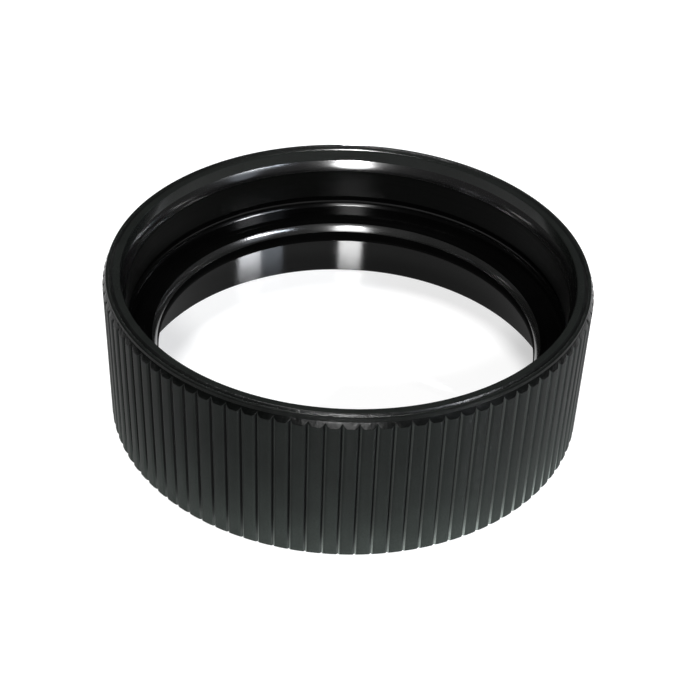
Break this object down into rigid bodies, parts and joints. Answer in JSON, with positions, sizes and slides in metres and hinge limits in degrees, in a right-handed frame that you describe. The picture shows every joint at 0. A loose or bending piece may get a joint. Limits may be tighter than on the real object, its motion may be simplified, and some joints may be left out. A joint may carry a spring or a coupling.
{
  "type": "optical lens mount",
  "caption": "Knurled black ring that holds a round lens on a rounded lip inside its bore, open right through for light.",
  "frame": {"origin": "centre of the base face, where the ring stands", "axes": "+Z along the ring's axis, from the base towards the mouth that the lens goes in by; the ring is round, so X and Y are free"},
  "size_m": [0.056, 0.056, 0.0186],
  "materials": {
    "anodised": "black anodised, satin, with fine turning marks"
  },
  "bodies": {
    "root": {"lens_ring": "anodised"}
  },
  "joints": []
}
